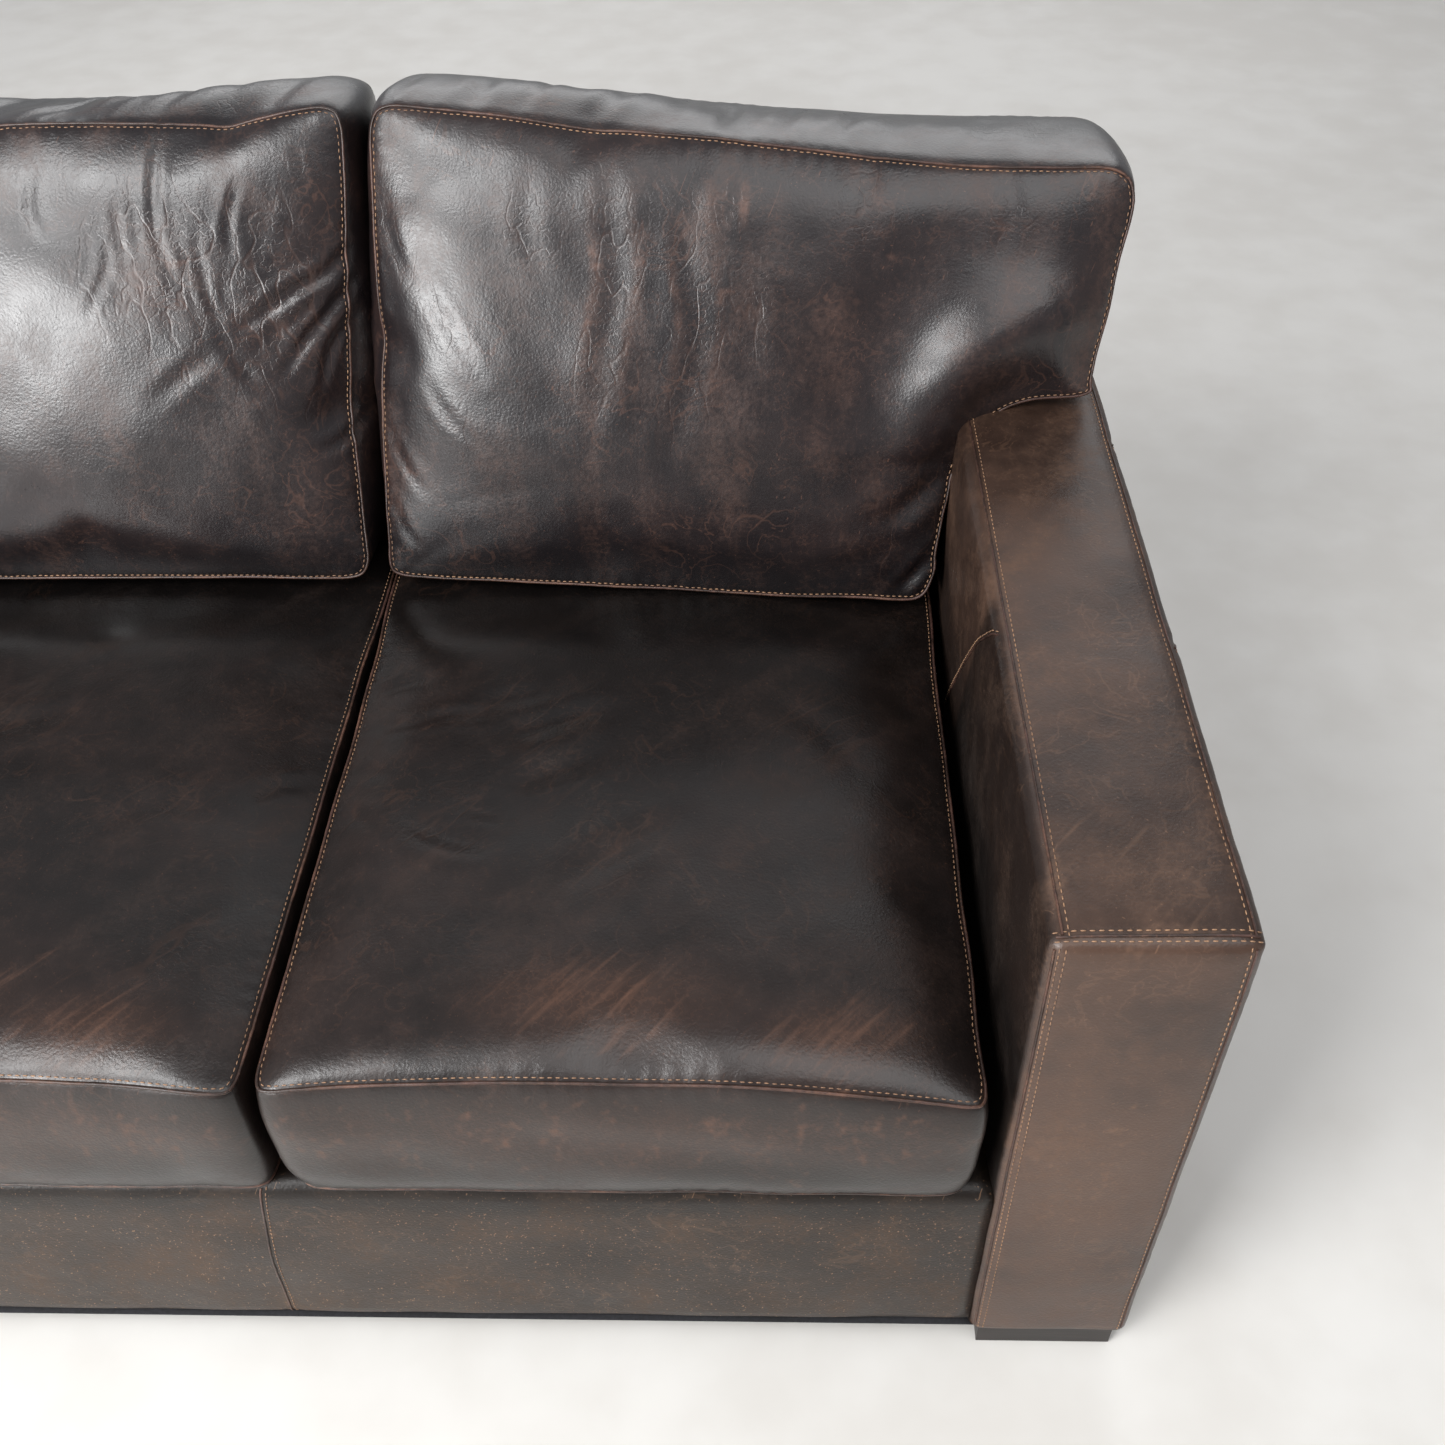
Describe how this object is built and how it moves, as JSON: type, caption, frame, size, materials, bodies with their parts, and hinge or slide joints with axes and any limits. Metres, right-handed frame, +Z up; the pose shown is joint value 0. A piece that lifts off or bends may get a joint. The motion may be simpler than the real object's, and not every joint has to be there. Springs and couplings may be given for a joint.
{
  "type": "worn leather sofa",
  "caption": "Wide worn leather sofa with square track arms, loose box seat cushions, T-shaped loose back cushions and low square block feet.",
  "frame": {"origin": "on the floor, under the middle of the sofa's bounding box", "axes": "+X along the width towards the arm at a viewer's right when facing the sofa, -Y out of the front, +Z up"},
  "size_m": [2.134, 1.04, 0.915],
  "materials": {
    "seat_leather": "worn pull-up leather, near black with brown wear, soft sheen",
    "back_leather": "pull-up leather, dark espresso with red-brown scuffs, smooth sheen",
    "arm_leather": "pull-up leather, mid brown, worn, satin",
    "base_leather": "pull-up leather, grey brown, satin",
    "outer_leather": "pull-up leather, dark brown, satin",
    "dark_wood": "ebonised hardwood, satin",
    "frame_timber": "kiln-dried poplar and plywood, bare",
    "spring_steel": "drawn spring wire, oiled",
    "webbing": "jute webbing",
    "foam": "polyurethane foam and felt, cream",
    "deck_cloth": "platform cloth, brown",
    "dust_cloth": "non-woven cambric, black"
  },
  "bodies": {
    "root": {"seat_front_rail": "frame_timber", "seat_rear_rail": "frame_timber", "base_rear_rail": "frame_timber", "bottom_stretcher": "frame_timber", "seat_side_rail_left": "frame_timber", "seat_side_rail_right": "frame_timber", "seat_stretcher_left": "frame_timber", "seat_stretcher_right": "frame_timber", "corner_block_front_left": "frame_timber", "corner_block_rear_left": "frame_timber", "corner_block_front_right": "frame_timber", "corner_block_rear_right": "frame_timber", "back_top_rail": "frame_timber", "back_tack_rail": "frame_timber", "back_rib_left_end": "frame_timber", "back_rib_left": "frame_timber", "back_rib_right": "frame_timber", "back_rib_right_end": "frame_timber", "arm_front_post_left": "frame_timber", "arm_front_post_right": "frame_timber", "arm_rear_post_left": "frame_timber", "arm_rear_post_right": "frame_timber", "arm_top_board_left": "frame_timber", "arm_top_board_right": "frame_timber", "arm_bottom_board_left": "frame_timber", "arm_bottom_board_right": "frame_timber", "back_webbing": "webbing", "seat_spring_left_1": "spring_steel", "seat_spring_left_2": "spring_steel", "seat_spring_left_3": "spring_steel", "seat_spring_centre_1": "spring_steel", "seat_spring_centre_2": "spring_steel", "seat_spring_centre_3": "spring_steel", "seat_spring_right_1": "spring_steel", "seat_spring_right_2": "spring_steel", "seat_spring_right_3": "spring_steel", "arm_cover_left": "arm_leather", "arm_padding_left": "foam", "leg_front_left": "dark_wood", "leg_rear_left": "dark_wood", "arm_cover_right": "arm_leather", "arm_padding_right": "foam", "leg_front_right": "dark_wood", "leg_rear_right": "dark_wood", "leg_centre": "dark_wood", "base_front_padding": "foam", "base_front_cover": "base_leather", "deck_pad": "foam", "deck_cloth": "deck_cloth", "back_padding": "foam", "back_cover": "outer_leather", "outside_back_panel": "outer_leather", "dust_cloth": "dust_cloth", "seat_cushion_left": "seat_leather", "back_cushion_left": "back_leather", "seat_cushion_centre": "seat_leather", "back_cushion_centre": "back_leather", "seat_cushion_right": "seat_leather", "back_cushion_right": "back_leather"}
  },
  "joints": []
}
